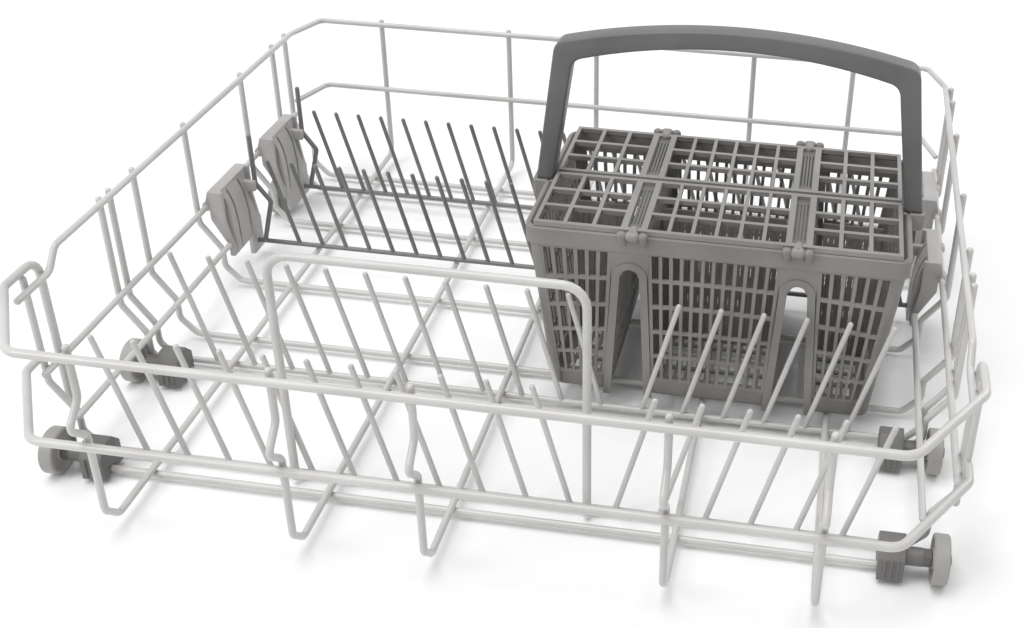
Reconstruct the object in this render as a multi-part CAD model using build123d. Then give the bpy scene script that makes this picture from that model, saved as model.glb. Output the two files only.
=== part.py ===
from build123d import *
import math
import os

# Dishwasher lower rack with fold-down plate rows, rollers and a lidded cutlery basket.
# Millimetres, +Z up, front of the rack at -Y, rollers standing on Z = 0.

# Rack outline, between wire centre lines
RACK_WIDTH = 525.0
RACK_DEPTH = 489.5
UPPER_RAIL_Z = 124.5
LOWER_RAIL_Z = 68.2
RIM_Z = 126.5
GROUND_CLEARANCE = 3.15

# Wire gauges and the gap left at each weld
WIRE_R = 2.1
RAIL_R = 2.5
TINE_R = 1.7
AXLE_R = 1.75
FOLD_TINE_R = 1.55
WELD_GAP = 0.05
RAIL_BEND = 9.0

# Sides of the sections that repeat, kept few so that the model stays light
WIRE_SIDES = 6
RAIL_SIDES = 8
BEND_STEPS = 3
PIN_SIDES = 8
WHEEL_SIDES = 32

# Side wall profile of the cross wires
STEP_TOP_Z = 50.5
STEP_LOW_Z = 30.5
STEP_IN = 14.5
BASE_TOP_Z = 16.5
BASE_IN = 11.0

# Cross wires, measured back from the front rail, and three of them from a fold-down row
FRONT_CROSS = 73.0
ROLLER_CROSS = 158.0
TINE_CROSS = 169.5
MIDDLE_CROSS = 199.0
BACK_CROSS = 446.0
CROSS_BEFORE_ROW = 45.0
CROSS_BETWEEN_ROWS = 47.0
CROSS_BEHIND_ROW = 15.0

# Lengthwise wires: places across the rack and the shape of their front end
LONG_LEFT_INSET = 66.5
LONG_RIGHT_INSET = 72.9
LONG_LEFT_X = -89.0
LONG_MIDDLE_X = -16.5
LONG_BASKET_X = 111.0
LONG_TIP = 5.5
JOG_OUT = 11.5
JOG_TOP_Z = 97.0
JOG_DROP = 10.0
JOG_FLAT = 4.0
FOOT_CHAMFER = 11.4

# Front rails
RAIL_CHAMFER_X = 36.0
RAIL_CHAMFER_Y = 57.0
RAIL_RETURN_Y = 89.0
RAIL_END_Z = 27.0

# Rim and side wires
RIM_DROP = 12.0
RIM_DROP_Y = 101.0
RIM_DROP_RUN = 10.0
RIM_FRONT_Y = 59.0
RIM_CHAMFER_X = 12.0
RIM_CHAMFER_Y = 35.0
SIDE_MID_Z = 60.5
SIDE_LOW_Z = 32.5
BACK_MID_Z = 70.0
SIDE_FRONT_Y = 66.0

# Upright hoop behind the front rails
HOOP_LEFT = -114.7
HOOP_RIGHT = 58.6
HOOP_TOP_Z = 155.5
HOOP_BEND = 12.0

# Fixed plate tines
TINE_PITCH = 25.66
TINE_COUNT = 17
TINE_FIRST_X = -208.4
TINE_LEAN_X = 21.0
TINE_TOP_Z = 87.0
TINE_LEFT_LEANING = 11

# Fold-down plate rows
FOLD_GAP = 1.5
FOLD_SPACING = 91.0
FOLD_Z = 14.0
FOLD_PITCH = 18.2
FOLD_SIDE_GAP = 18.0
FOLD_HEIGHT = 68.0
FOLD_LEAN_X = 17.5
LEVER_GAP = 3.0
LEVER_HEIGHT = 87.0
LEVER_NECK_IN = 10.5
LEVER_NECK = 34.0
LEVER_SHOULDER = 48.0

# Bearing brackets of the fold-down rows
BRACKET_BEFORE = 40.0
BRACKET_AFTER = 8.0
BRACKET_TOP_Z = 73.0
BRACKET_LOW_Z = 6.5
BRACKET_APRON_Z = 22.0
BRACKET_LEG = 9.0
BRACKET_GAP = 0.4
BRACKET_WALL = 4.0
BRACKET_DEPTH = 8.6
BRACKET_FLANGE = 3.0
BRACKET_FLANGE_RISE = 2.5
BRACKET_LIP = 3.0
BRACKET_ROLLER = 20.0
STOP_SIZE = (11.0, 4.0, 8.0)
STOP_GAP = 0.3

# Rollers and their carriers
WHEEL_R = 14.0
WHEEL_WIDTH = 8.5
WHEEL_OUT = 2.8
WHEEL_SIDE_GAP = 0.3
PIN_R = 2.4
PIN_HEAD_R = 3.4
PIN_HEAD = 1.4
BOSS_R = 5.0
RUNNING_FIT = 0.06
CARRIER_INSET = 1.0
CARRIER_WIDTH = 14.0
CARRIER_FRONT = 10.0
CARRIER_BACK = 12.0
CARRIER_TOP_Z = 25.0
CARRIER_BEND = 7.0
ROLLER_FRONT = 56.0
ROLLER_MIDDLE = 150.0
AXLE_BAR_INSET = 2.5

# Cutlery basket
BASKET_X = 114.0
BASKET_GAP = 4.0
BASKET_TOP_WIDTH = 230.0
BASKET_TOP_DEPTH = 140.0
BASKET_BASE_WIDTH = 198.0
BASKET_BASE_DEPTH = 134.0
BASKET_HEIGHT = 116.8
BASKET_WALL = 1.8
BASKET_CORNER = 6.0
RIM_BAND = 12.0
RIM_LEDGE = 2.0
TUNNEL_X = 50.5
TUNNEL_TOP_WIDTH = 12.0
TUNNEL_BASE_WIDTH = 21.6
TUNNEL_HEIGHT = 93.0
SLOT_WIDTH = 4.2
SLOT_PITCH = 7.4
SLOT_ROWS = ((20.0, 36.0), (60.0, 30.0))
FLOOR_SLOTS = 2
FLOOR_SLOT_LENGTH = 40.0
END_SLOTS = 4
END_SLOT_PITCH = 28.0

# Lids, their hinges and the carrying handle
LID_INSET = 6.0
LID_THICKNESS = 3.0
LID_GAP = 0.4
LID_MIDDLE_GAP = 3.0
LID_FRAME = 5.0
LID_BAR = 2.2
LID_COLUMNS = 10
LID_ROWS = 3
LID_EDGE = 1.0
LID_NOTCH = (8.0, 12.0)
HINGE_X = 48.6
HINGE_PIN_R = 1.6
HINGE_BARREL_R = 3.4
HINGE_BARREL = 9.0
HINGE_EAR = 3.0
HINGE_OUT = 4.0
HANDLE_DEPTH = 14.0
HANDLE_WIDTH = 11.0
HANDLE_HEIGHT = 106.0
HANDLE_SHOULDER = 92.0
HANDLE_LEAN = 12.5
HANDLE_FOOT_OUT = 1.0
HANDLE_CORNER = 9.0
TONGUE = (4.0, 8.0, 8.0)
TONGUE_FIT = 0.1

# Values worked out from the driving dimensions
HALF = RACK_WIDTH / 2
LONG_PLACES = (LONG_LEFT_INSET - HALF, LONG_LEFT_X, LONG_MIDDLE_X, LONG_BASKET_X, HALF - LONG_RIGHT_INSET)
JOG_FORWARD = JOG_OUT - (RAIL_R + WIRE_R + WELD_GAP)
FRONT_Y = -(RACK_DEPTH - JOG_FORWARD) / 2
CROSS_Z = GROUND_CLEARANCE + WIRE_R
LONG_Z = CROSS_Z + 2 * WIRE_R + WELD_GAP
INSIDE = 2 * WIRE_R + WELD_GAP
RIM_X = HALF - INSIDE
RAIL_X = RIM_X + WIRE_R + RAIL_R + WELD_GAP
BACK_Y = FRONT_Y + RACK_DEPTH
STEP_X = HALF - STEP_IN
FLOOR_X = STEP_X - BASE_IN
HOOK_X = RIM_X - WIRE_R - WELD_GAP
BRACKET_UPPER_IN = HOOK_X - BRACKET_DEPTH
BRACKET_LOWER_OUT = STEP_X - WIRE_R - BRACKET_GAP
BRACKET_LOWER_IN = BRACKET_LOWER_OUT - BRACKET_WALL
LEVER_X = BRACKET_LOWER_IN - LEVER_GAP
LEVER_NECK_X = LEVER_X - LEVER_NECK_IN
FOLD_COUNT = int(2 * (LEVER_NECK_X - FOLD_SIDE_GAP) / FOLD_PITCH) + 1
WHEEL_INNER_X = STEP_X + WHEEL_OUT
CARRIER_OUTER_X = FLOOR_X - CARRIER_INSET
CARRIER_INNER_X = CARRIER_OUTER_X - CARRIER_WIDTH
BASKET_Y = TINE_CROSS + BASKET_GAP + BASKET_TOP_DEPTH / 2
LID_WIDTH = BASKET_TOP_WIDTH - 2 * LID_INSET
HANDLE_FOOT_X = BASKET_TOP_WIDTH / 2 + HANDLE_FOOT_OUT
FOLD_FRONT = BASKET_Y + BASKET_TOP_DEPTH / 2 + FOLD_GAP
FOLD_REAR = FOLD_FRONT + FOLD_SPACING
FOLD_PLACES = {"front": FOLD_FRONT, "rear": FOLD_REAR}
CROSS_PLACES = {"front": FRONT_CROSS, "roller": ROLLER_CROSS, "tine": TINE_CROSS, "middle": MIDDLE_CROSS,
                "bracket": FOLD_FRONT - CROSS_BEFORE_ROW, "rear": FOLD_FRONT + CROSS_BETWEEN_ROWS,
                "bracket_rear": FOLD_REAR + CROSS_BEHIND_ROW, "back": BACK_CROSS}


def back_from_front(distance):
    """Y of a place measured back from the front rail."""
    return FRONT_Y + distance


def wire(points, radius, sides=WIRE_SIDES):
    """Wire along straight runs with mitred corners."""
    path = Polyline(*points)
    section = Plane(origin=path @ 0, z_dir=path % 0) * RegularPolygon(radius, sides)
    return sweep(section, path=path, transition=Transition.RIGHT)


def rail(points, bend):
    """Thick wire whose corners are bent to a radius, each bend in a few short steps."""
    stops = []
    for edge in FilletPolyline(*points, radius=bend).edges():
        steps = BEND_STEPS if edge.geom_type == GeomType.CIRCLE else 1
        stops += [edge @ (step / steps) for step in range(steps)]
    return wire(stops + [points[-1]], RAIL_R, RAIL_SIDES)


def rod(start, end, radius, sides=WIRE_SIDES):
    """Straight rod between two points, its corners on the radius."""
    axis = Vector(*end) - Vector(*start)
    return extrude(Plane(origin=start, z_dir=axis) * RegularPolygon(radius, sides), axis.length)


def bore(start, end, radius, sides=PIN_SIDES):
    """Hole between two points, its flats on the radius so that a pin turns inside it."""
    axis = Vector(*end) - Vector(*start)
    outline = RegularPolygon(radius, sides, major_radius=False)
    return extrude(Plane(origin=start, z_dir=axis) * outline, axis.length)


def mirrored(points):
    """Points of a left half followed by their mirror images on the right."""
    return points + [(-x, y, z) for x, y, z in reversed(points)]


def cross_wire(place, top_z):
    """One wire of the floor with both its ends turned up as the stepped side walls."""
    y = back_from_front(place)
    left = [(-HALF, y, top_z), (-HALF, y, STEP_TOP_Z), (-STEP_X, y, STEP_LOW_Z), (-STEP_X, y, BASE_TOP_Z),
            (-FLOOR_X, y, CROSS_Z)]
    return wire(mirrored(left), WIRE_R)


def long_wire(x):
    """One lengthwise wire: jogged front end, chamfered foot, floor run and back upright."""
    y = FRONT_Y + RAIL_R + WIRE_R + WELD_GAP
    jog_low_z = JOG_TOP_Z - JOG_DROP
    points = [(x, y, UPPER_RAIL_Z + LONG_TIP), (x, y, JOG_TOP_Z), (x, y - JOG_OUT, jog_low_z),
              (x, y - JOG_OUT, jog_low_z - JOG_FLAT), (x, y, jog_low_z - JOG_FLAT - JOG_DROP),
              (x, y, LONG_Z + FOOT_CHAMFER), (x, y + FOOT_CHAMFER, LONG_Z), (x, BACK_Y, LONG_Z),
              (x, BACK_Y, RIM_Z + WIRE_R)]
    return wire(points, WIRE_R)


def front_upper_rail():
    """Handle rail across the front, with returns whose ends turn down the side walls."""
    left = [(-RAIL_X, back_from_front(RAIL_RETURN_Y), RAIL_END_Z),
            (-RAIL_X, back_from_front(RAIL_RETURN_Y), UPPER_RAIL_Z),
            (-RAIL_X, back_from_front(RAIL_CHAMFER_Y), UPPER_RAIL_Z),
            (-RAIL_X + RAIL_CHAMFER_X, FRONT_Y, UPPER_RAIL_Z)]
    return rail(mirrored(left), RAIL_BEND)


def front_lower_rail():
    """Lower rail of the same plan, ending against the front cross wire."""
    end_y = back_from_front(FRONT_CROSS) - WIRE_R - WELD_GAP
    left = [(-RAIL_X, end_y, LOWER_RAIL_Z), (-RAIL_X, back_from_front(RAIL_CHAMFER_Y), LOWER_RAIL_Z),
            (-RAIL_X + RAIL_CHAMFER_X, FRONT_Y, LOWER_RAIL_Z)]
    return rail(mirrored(left), RAIL_BEND)


def top_rim():
    """Rim round the sides and back, dropped at its front ends below the upper rail."""
    low_z = RIM_Z - RIM_DROP
    y = BACK_Y - INSIDE
    left = [(-RIM_X, back_from_front(RIM_FRONT_Y), low_z),
            (-RIM_X, back_from_front(RIM_DROP_Y) - RIM_DROP_RUN, low_z),
            (-RIM_X, back_from_front(RIM_DROP_Y), RIM_Z), (-RIM_X, y - RIM_CHAMFER_Y, RIM_Z),
            (-RIM_X + RIM_CHAMFER_X, y, RIM_Z)]
    return wire(mirrored(left), WIRE_R)


def back_mid_wire():
    """Wire across the back wall, its chamfered ends meeting the last cross wire."""
    y = BACK_Y - INSIDE
    left = [(-RIM_X, back_from_front(CROSS_PLACES["back"]), BACK_MID_Z),
            (-RIM_X + RIM_CHAMFER_X, y, BACK_MID_Z)]
    return wire(mirrored(left), WIRE_R)


def front_hoop():
    """Upright hoop standing against the front cross wire."""
    y = back_from_front(FRONT_CROSS) - WIRE_R - RAIL_R - WELD_GAP
    foot_z = CROSS_Z - WIRE_R
    points = [(HOOP_LEFT, y, foot_z), (HOOP_LEFT, y, HOOP_TOP_Z), (HOOP_RIGHT, y, HOOP_TOP_Z),
              (HOOP_RIGHT, y, foot_z)]
    return rail(points, HOOP_BEND)


def tine_row(place):
    """Leaning plate tines that stand on one cross wire."""
    y = back_from_front(place)
    rise = TINE_TOP_Z - CROSS_Z - WIRE_R
    foot_lift = TINE_R * TINE_LEAN_X / math.hypot(TINE_LEAN_X, rise)
    foot_z = CROSS_Z + WIRE_R + WELD_GAP + foot_lift
    tines = []
    for index in range(TINE_COUNT):
        x = TINE_FIRST_X + index * TINE_PITCH
        lean = -TINE_LEAN_X if index < TINE_LEFT_LEANING else TINE_LEAN_X
        tines.append(rod((x, y, foot_z), (x + lean, y, TINE_TOP_Z), TINE_R))
    return Compound(children=tines)


def fold_axle(place):
    """Axle of a fold-down row, with a finger lever standing near each end."""
    y = back_from_front(place)
    reach = BRACKET_LOWER_OUT - WELD_GAP
    axle = rod((-reach, y, FOLD_Z), (reach, y, FOLD_Z), AXLE_R)
    for side in (-1, 1):
        axle += wire([(side * LEVER_X, y, FOLD_Z + LEVER_HEIGHT), (side * LEVER_X, y, FOLD_Z + LEVER_SHOULDER),
                      (side * LEVER_NECK_X, y, FOLD_Z + LEVER_NECK),
                      (side * (LEVER_X - AXLE_R), y, FOLD_Z)], AXLE_R)
    return axle


def fold_tines(place):
    """Leaning tines welded along the axle of a fold-down row."""
    y = back_from_front(place)
    foot_lift = FOLD_TINE_R * FOLD_LEAN_X / math.hypot(FOLD_LEAN_X, FOLD_HEIGHT - AXLE_R)
    foot_z = FOLD_Z + AXLE_R + WELD_GAP + foot_lift
    tines = []
    for index in range(FOLD_COUNT):
        x = (index - (FOLD_COUNT - 1) / 2) * FOLD_PITCH
        tines.append(rod((x, y, foot_z), (x - FOLD_LEAN_X, y, FOLD_Z + FOLD_HEIGHT), FOLD_TINE_R))
    return Compound(children=tines)


def wall_profile(inner_rise):
    """Bracket section on the XZ plane, following the step of the wall."""
    lip_z = SIDE_MID_Z + WIRE_R + WELD_GAP
    return Plane.XZ * make_face(Polyline(
        (HOOK_X, STEP_TOP_Z), (HOOK_X, lip_z), (RIM_X, lip_z), (RIM_X, lip_z + BRACKET_LIP),
        (HOOK_X, BRACKET_TOP_Z), (BRACKET_UPPER_IN - inner_rise, BRACKET_TOP_Z),
        (BRACKET_UPPER_IN - inner_rise, STEP_TOP_Z), (BRACKET_LOWER_IN, STEP_LOW_Z - inner_rise),
        (BRACKET_LOWER_IN, BRACKET_LOW_Z), (BRACKET_LOWER_OUT, BRACKET_LOW_Z),
        (BRACKET_LOWER_OUT, STEP_LOW_Z), close=True))


def bracket(place, side):
    """Moulded bearing bracket of a fold-down row, hooked over the side wire."""
    y = back_from_front(place)
    length = BRACKET_BEFORE + BRACKET_AFTER
    front = y - BRACKET_BEFORE
    body = Pos(0, front + length, 0) * extrude(wall_profile(0), length)
    for flange_end in (front + BRACKET_FLANGE, front + length):
        body += Pos(0, flange_end, 0) * extrude(wall_profile(BRACKET_FLANGE_RISE), BRACKET_FLANGE)
    stop_y = y - AXLE_R - STOP_GAP - STOP_SIZE[1] / 2
    stop_x = BRACKET_UPPER_IN - STOP_SIZE[0] / 2
    body += Pos(stop_x, stop_y, FOLD_Z + LEVER_SHOULDER) * Box(*STOP_SIZE)
    leg_front = y - BRACKET_LEG - (BRACKET_ROLLER if place == FOLD_PLACES["rear"] else 0)
    below = Box(HALF, leg_front - front, BRACKET_APRON_Z - BRACKET_LOW_Z, align=(Align.MIN, Align.MIN, Align.MIN))
    body -= Pos(0, front, BRACKET_LOW_Z) * below
    body -= bore((BRACKET_LOWER_IN, y, FOLD_Z), (BRACKET_LOWER_OUT, y, FOLD_Z), AXLE_R + RUNNING_FIT)
    if place == FOLD_PLACES["rear"]:
        body += roller_pin(front + BRACKET_ROLLER, BRACKET_LOWER_OUT)
    return body if side > 0 else mirror(body, Plane.YZ)


def roller_pin(y, root_x):
    """Pin with a shoulder boss and a snap head for one roller, on the right-hand side."""
    shoulder_x = WHEEL_INNER_X - WHEEL_SIDE_GAP
    head_x = WHEEL_INNER_X + WHEEL_WIDTH + WHEEL_SIDE_GAP
    pin = rod((root_x, y, WHEEL_R), (shoulder_x, y, WHEEL_R), BOSS_R, PIN_SIDES)
    pin += rod((shoulder_x, y, WHEEL_R), (head_x, y, WHEEL_R), PIN_R, PIN_SIDES)
    return pin + rod((head_x, y, WHEEL_R), (head_x + PIN_HEAD, y, WHEEL_R), PIN_HEAD_R, PIN_SIDES)


def carrier(axle_place, clip_place, side):
    """Clip-on carrier of a front roller, open below where it snaps over its wire."""
    y = back_from_front(axle_place)
    depth = CARRIER_FRONT + CARRIER_BACK
    base_z = CROSS_Z - WIRE_R
    height = CARRIER_TOP_Z - base_z
    centre = Pos((CARRIER_INNER_X + CARRIER_OUTER_X) / 2, y + (CARRIER_BACK - CARRIER_FRONT) / 2, base_z)
    block = centre * extrude(Rectangle(CARRIER_WIDTH, depth), height)
    top_edges = block.edges().filter_by(Axis.X).group_by(Axis.Z)[-1]
    block = chamfer(top_edges, CARRIER_BEND)
    clip = Box(2 * CARRIER_WIDTH, 2 * (WIRE_R + WELD_GAP), 2 * (2 * WIRE_R + WELD_GAP))
    block -= Pos(CARRIER_INNER_X, back_from_front(clip_place), base_z) * clip
    body = block + roller_pin(y, CARRIER_OUTER_X)
    return body if side > 0 else mirror(body, Plane.YZ)


def roller(place, side):
    """One plain roller on its pin, standing on a flat of its tread."""
    y = back_from_front(place)
    inner = (side * WHEEL_INNER_X, y, WHEEL_R)
    outline = RegularPolygon(WHEEL_R, WHEEL_SIDES, major_radius=False, rotation=180 / WHEEL_SIDES)
    tread = extrude(Plane(origin=inner, z_dir=(side, 0, 0)) * outline, WHEEL_WIDTH)
    outer = (side * (WHEEL_INNER_X + WHEEL_WIDTH), y, WHEEL_R)
    return tread - bore(inner, outer, PIN_R + RUNNING_FIT)


def basket_span(height):
    """Half width and half depth of the basket's outer wall at a height above its base."""
    share = height / BASKET_HEIGHT
    width = BASKET_BASE_WIDTH + (BASKET_TOP_WIDTH - 2 * RIM_LEDGE - BASKET_BASE_WIDTH) * share
    depth = BASKET_BASE_DEPTH + (BASKET_TOP_DEPTH - 2 * RIM_LEDGE - BASKET_BASE_DEPTH) * share
    return width / 2, depth / 2


def tunnel_half_width(height):
    """Half width of a tunnel, which narrows upwards to its round arch."""
    spring = TUNNEL_HEIGHT - TUNNEL_TOP_WIDTH / 2
    share = min(height / spring, 1.0)
    return (TUNNEL_BASE_WIDTH + (TUNNEL_TOP_WIDTH - TUNNEL_BASE_WIDTH) * share) / 2


def tunnel(x):
    """Arched way that runs under the basket from front to back."""
    spring = TUNNEL_HEIGHT - TUNNEL_TOP_WIDTH / 2
    half_top = TUNNEL_TOP_WIDTH / 2
    half_base = TUNNEL_BASE_WIDTH / 2
    sides = Polyline((-half_top, spring), (-half_base, 0), (half_base, 0), (half_top, spring))
    arch = ThreePointArc((half_top, spring), (0, TUNNEL_HEIGHT), (-half_top, spring))
    face = Plane.XZ * make_face(sides + arch)
    return Pos(x, 0, 0) * extrude(face, BASKET_TOP_DEPTH, both=True)


def tapered(low, high):
    """Block between two rectangles (x from, x to, y from, y to, z), as two crossed trapezoids."""
    front = make_face(Polyline((low[0], low[4]), (low[1], low[4]), (high[1], high[4]), (high[0], high[4]),
                               close=True))
    flank = make_face(Polyline((low[2], low[4]), (low[3], low[4]), (high[3], high[4]), (high[2], high[4]),
                               close=True))
    return extrude(Plane.XZ * front, BASKET_TOP_DEPTH, both=True) & extrude(
        Plane.YZ * flank, BASKET_TOP_WIDTH, both=True)


def pocket(x_limits, half, low, high):
    """Tapered space of one compartment, between two heights, in the front or rear half."""
    levels = []
    for height in (low, high):
        near = half * BASKET_WALL / 2
        far = half * (basket_span(height)[1] - BASKET_WALL)
        levels.append((*x_limits(height), min(near, far), max(near, far), height))
    return tapered(*levels)


def left_limits(height):
    return BASKET_WALL - basket_span(height)[0], -TUNNEL_X - tunnel_half_width(height) - BASKET_WALL


def centre_limits(height):
    edge = TUNNEL_X - tunnel_half_width(height) - BASKET_WALL
    return -edge, edge


def right_limits(height):
    left, right = left_limits(height)
    return -right, -left


def top_limits(height):
    edge = basket_span(height)[0] - BASKET_WALL
    return -edge, edge


def wall_slots():
    """Drain slots of the long walls and end walls, in two rows, and of the pocket floors."""
    cuts = []
    for low, tall in SLOT_ROWS:
        z = low + tall / 2
        half_width, half_depth = basket_span(z)
        for limits in (left_limits, centre_limits, right_limits):
            left, right = limits(0)
            count = int((right - left - SLOT_WIDTH) // SLOT_PITCH)
            for index in range(count):
                x = (left + right) / 2 + (index - (count - 1) / 2) * SLOT_PITCH
                for half in (-1, 1):
                    cuts.append(Pos(x, half * half_depth, z) * Box(SLOT_WIDTH, 4 * BASKET_WALL, tall))
        for column in range(END_SLOTS):
            y = (column - (END_SLOTS - 1) / 2) * END_SLOT_PITCH
            for end in (-1, 1):
                cuts.append(Pos(end * half_width, y, z) * Box(8 * BASKET_WALL, SLOT_WIDTH, tall))
    for limits in (left_limits, centre_limits, right_limits):
        left, right = limits(0)
        for index in range(FLOOR_SLOTS):
            x = left + (right - left) * (index + 1) / (FLOOR_SLOTS + 1)
            for half in (-1, 1):
                y = half * BASKET_BASE_DEPTH / 4
                cuts.append(Pos(x, y, 0) * Box(SLOT_WIDTH, FLOOR_SLOT_LENGTH, 4 * BASKET_WALL))
    return cuts


def hinge_axis(half):
    """Y and Z of a lid hinge in the basket's own frame."""
    y = half * (BASKET_TOP_DEPTH / 2 + HINGE_OUT)
    return y, BASKET_HEIGHT + LID_GAP + LID_THICKNESS / 2


def hinge_ears(x, half):
    """Pair of ears on the rim that hold one hinge pin."""
    y, z = hinge_axis(half)
    inner = HINGE_BARREL / 2 + LID_GAP
    root = half * BASKET_TOP_DEPTH / 2
    ears = []
    for end in (-1, 1):
        middle = x + end * (inner + HINGE_EAR / 2)
        eye = rod((middle - HINGE_EAR / 2, y, z), (middle + HINGE_EAR / 2, y, z), HINGE_BARREL_R, PIN_SIDES)
        arm_height = z - BASKET_HEIGHT + RIM_BAND
        arm = Pos(middle, (y + root) / 2, z - arm_height / 2) * Box(HINGE_EAR, HINGE_OUT, arm_height)
        ears.append(eye + arm)
    return ears


def hinge_pin(x, half, radius, reach):
    """Solid on a hinge's axis, reaching equally to both sides."""
    y, z = hinge_axis(half)
    return rod((x - reach, y, z), (x + reach, y, z), radius, PIN_SIDES)


def hinge_bore(x, half, radius, reach):
    y, z = hinge_axis(half)
    return bore((x - reach, y, z), (x + reach, y, z), radius)


def in_rack(shape):
    """Move a shape from the basket's own frame to its place on the rack floor."""
    return Pos(BASKET_X, back_from_front(BASKET_Y), LONG_Z + WIRE_R + WELD_GAP) * shape


def cutlery_basket():
    """Moulded basket of six compartments on three feet, with slotted walls and hinge ears."""
    levels = []
    for height in (0, BASKET_HEIGHT):
        half_width, half_depth = basket_span(height)
        levels.append((-half_width, half_width, -half_depth, half_depth, height))
    body = tapered(*levels)
    body = fillet([edge for edge in body.edges() if edge.bounding_box().size.Z > RIM_BAND], BASKET_CORNER)
    band = RectangleRounded(BASKET_TOP_WIDTH, BASKET_TOP_DEPTH, BASKET_CORNER + RIM_LEDGE)
    body += Pos(0, 0, BASKET_HEIGHT - RIM_BAND) * extrude(band, RIM_BAND)
    for end in (-1, 1):
        socket = Box(HANDLE_WIDTH + 2 * RIM_LEDGE, HANDLE_DEPTH + 2 * RIM_LEDGE, RIM_BAND)
        body += Pos(end * HANDLE_FOOT_X, 0, BASKET_HEIGHT - RIM_BAND / 2) * socket
    for half in (-1, 1):
        for x in (-HINGE_X, HINGE_X):
            body += hinge_ears(x, half)
            reach = HINGE_BARREL / 2 + LID_GAP + 2 * HINGE_EAR
            body -= hinge_bore(x, half, HINGE_PIN_R + WELD_GAP, reach)
    roof = TUNNEL_HEIGHT + BASKET_WALL
    for half in (-1, 1):
        for limits in (left_limits, centre_limits, right_limits):
            body -= pocket(limits, half, BASKET_WALL, roof)
        body -= pocket(top_limits, half, roof, BASKET_HEIGHT)
    body -= [tunnel(-TUNNEL_X), tunnel(TUNNEL_X)]
    for end in (-1, 1):
        hole = Box(*[size + 2 * TONGUE_FIT for size in TONGUE])
        body -= Pos(end * HANDLE_FOOT_X, 0, BASKET_HEIGHT - TONGUE[2] / 2) * hole
    body -= wall_slots()
    return in_rack(body)


def lid(half):
    """Grid lid of one half, with two hinge barrels on its outer edge."""
    y_axis, z_axis = hinge_axis(half)
    outer = BASKET_TOP_DEPTH / 2 - LID_EDGE
    depth = outer - LID_MIDDLE_GAP / 2
    middle = half * (outer - depth / 2)
    plate = Pos(0, middle, z_axis) * Box(LID_WIDTH, depth, LID_THICKNESS)
    notch = Box(2 * LID_NOTCH[0], 2 * LID_NOTCH[1], 2 * LID_THICKNESS)
    plate -= [Pos(end * LID_WIDTH / 2, half * LID_MIDDLE_GAP / 2, z_axis) * notch for end in (-1, 1)]
    cell_x = (LID_WIDTH - 2 * LID_FRAME - 2 * LID_NOTCH[0] + LID_BAR) / LID_COLUMNS
    cell_y = (depth - 2 * LID_FRAME + LID_BAR) / LID_ROWS
    hole = Box(cell_x - LID_BAR, cell_y - LID_BAR, 2 * LID_THICKNESS)
    grid = Pos(0, middle, z_axis) * GridLocations(cell_x, cell_y, LID_COLUMNS, LID_ROWS)
    plate -= [place * hole for place in grid]
    for x in (-HINGE_X, HINGE_X):
        plate += hinge_pin(x, half, HINGE_BARREL_R, HINGE_BARREL / 2)
        reach = abs(y_axis) - outer
        plate += Pos(x, half * (outer + reach / 2), z_axis) * Box(HINGE_BARREL, reach, LID_THICKNESS)
        plate -= hinge_bore(x, half, HINGE_PIN_R + RUNNING_FIT, HINGE_BARREL)
    return in_rack(plate)


def lid_hinge_pins(half):
    reach = HINGE_BARREL / 2 + LID_GAP + HINGE_EAR
    return in_rack(Compound(children=[hinge_pin(x, half, HINGE_PIN_R, reach) for x in (-HINGE_X, HINGE_X)]))


def basket_handle():
    """Arched carrying handle with leaning legs, plugged into the rim at both ends."""
    outer = HANDLE_FOOT_X + HANDLE_WIDTH / 2
    inner = HANDLE_FOOT_X - HANDLE_WIDTH / 2
    shoulder_in = HANDLE_SHOULDER - HANDLE_WIDTH
    rise = HANDLE_HEIGHT - HANDLE_WIDTH
    over = Polyline((-inner, 0), (-outer, 0), (-outer + HANDLE_LEAN, HANDLE_SHOULDER))
    over += ThreePointArc((-outer + HANDLE_LEAN, HANDLE_SHOULDER), (0, HANDLE_HEIGHT),
                          (outer - HANDLE_LEAN, HANDLE_SHOULDER))
    over += Polyline((outer - HANDLE_LEAN, HANDLE_SHOULDER), (outer, 0), (inner, 0),
                     (inner - HANDLE_LEAN, shoulder_in))
    over += ThreePointArc((inner - HANDLE_LEAN, shoulder_in), (0, rise), (-inner + HANDLE_LEAN, shoulder_in))
    over += Line((-inner + HANDLE_LEAN, shoulder_in), (-inner, 0))
    arch = extrude(Plane.XZ * make_face(over), HANDLE_DEPTH / 2, both=True)
    corners = arch.edges().filter_by(Axis.Y).group_by(Axis.Z)[-2:]
    arch = fillet([edge for group in corners for edge in group], HANDLE_CORNER)
    arch = Pos(0, 0, BASKET_HEIGHT) * arch
    for end in (-1, 1):
        arch += Pos(end * HANDLE_FOOT_X, 0, BASKET_HEIGHT - TONGUE[2] / 2) * Box(*TONGUE)
    return in_rack(arch)


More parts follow.
